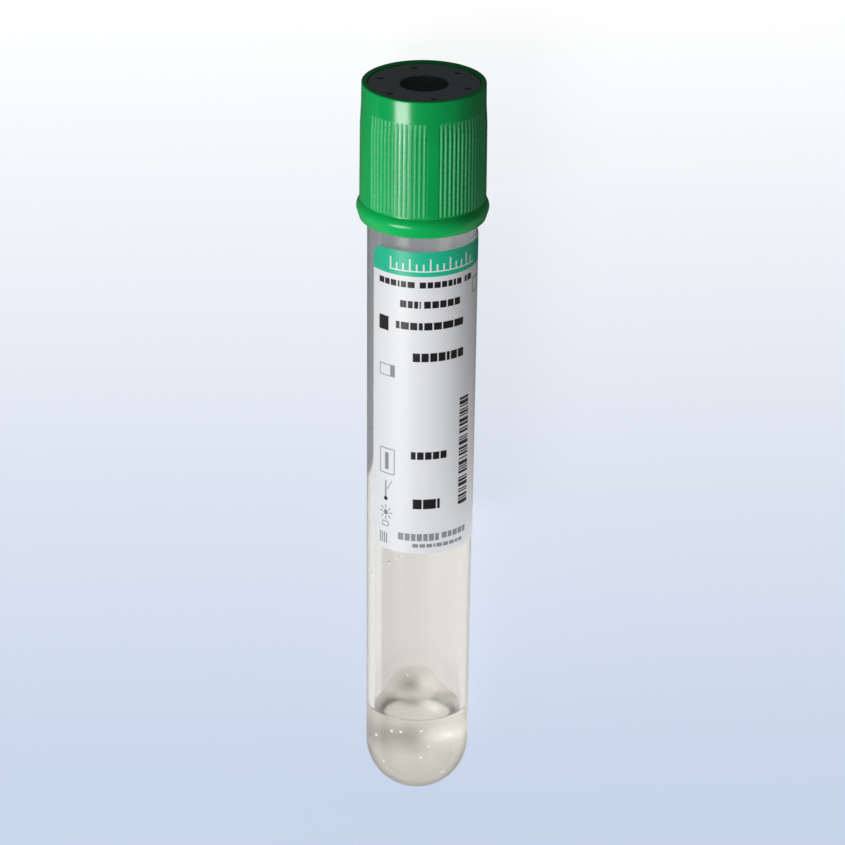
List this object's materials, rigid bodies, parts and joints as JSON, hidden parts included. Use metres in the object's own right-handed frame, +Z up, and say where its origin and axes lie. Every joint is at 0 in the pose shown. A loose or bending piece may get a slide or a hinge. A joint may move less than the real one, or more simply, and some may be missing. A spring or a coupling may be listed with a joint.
{
  "type": "blood collection tube",
  "caption": "Clear round-ended sample tube with a wrapped film label and a plug of additive gel, closed by a pull-off rubber stopper in a ribbed green cap.",
  "frame": {"origin": "on the ground, under the middle of the tube's overall length, as the tube lies at rest on its cap's flange and its round end", "axes": "+Y along the ground towards the cap, +Z up, the way the front of the label faces, +X to the right of the label's front. The tube's own axis rises about 1.3 degrees from +Y, because the cap's flange is wider than the round end"},
  "size_m": [0.0186, 0.1102, 0.0186],
  "materials": {
    "clear_pet": "clear moulded polyester, glossy",
    "additive": "clear gel with small bubbles",
    "label_film": "white printed film, satin, with a teal band along its top edge",
    "stopper_rubber": "moulded rubber, matt",
    "cap_plastic": "moulded polyethylene, semi-gloss, with ribbed panels"
  },
  "bodies": {
    "tube_body": {"tube": "clear_pet", "additive_gel": "additive", "label": "label_film"},
    "closure": {"stopper": "stopper_rubber", "cap": "cap_plastic"}
  },
  "joints": [
    {"name": "closure_pull", "type": "slide", "parent": "tube_body", "child": "closure", "axis": [0, 0.9997, 0.0225], "range_m": [0, 0.015]}
  ]
}
